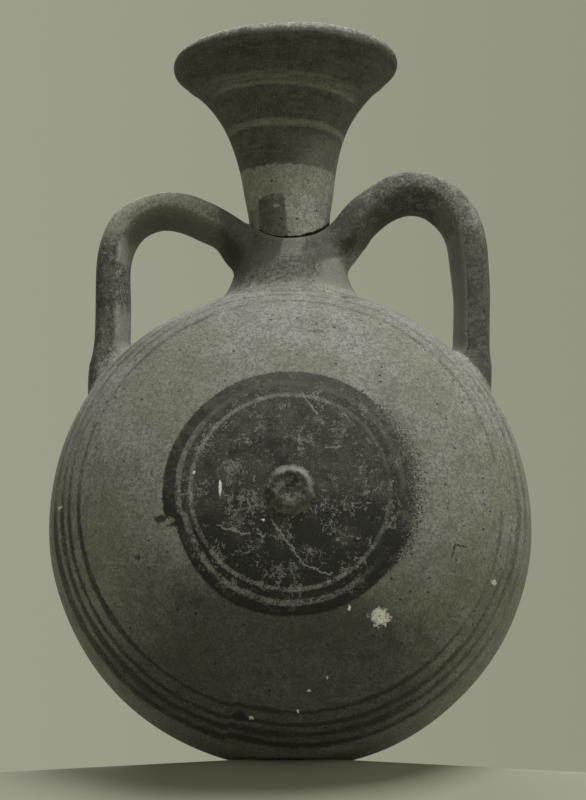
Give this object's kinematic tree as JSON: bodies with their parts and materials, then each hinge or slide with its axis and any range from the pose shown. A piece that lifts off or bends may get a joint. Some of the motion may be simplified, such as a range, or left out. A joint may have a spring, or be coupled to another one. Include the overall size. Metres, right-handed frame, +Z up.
{
  "type": "pilgrim flask",
  "caption": "Lens-shaped pilgrim flask with a flaring neck and strap handles from collar to shoulders, in pale fired clay with dark painted rings, bands and central discs.",
  "frame": {"origin": "middle of the small worn flat under the body, the bottom centre of the whole flask", "axes": "+Z up along the neck, +X towards the taller handle, the body's axis of rotation along Y with the front face towards -Y"},
  "size_m": [0.18, 0.1354, 0.2731],
  "materials": {
    "pale_clay": "matt fired clay, pale, with thin dark brushed rings and fine pits",
    "dark_slip": "matt dark slip paint on fired clay, worn at the edges",
    "luting_clay": "bare fired clay, rough"
  },
  "bodies": {
    "root": {"front_shell": "pale_clay", "back_shell": "pale_clay", "seam_coil": "luting_clay", "front_boss": "dark_slip", "back_boss": "dark_slip", "neck_collar": "pale_clay", "neck_funnel": "dark_slip", "neck_luting_ring": "luting_clay", "left_handle": "dark_slip", "right_handle": "dark_slip"}
  },
  "joints": []
}
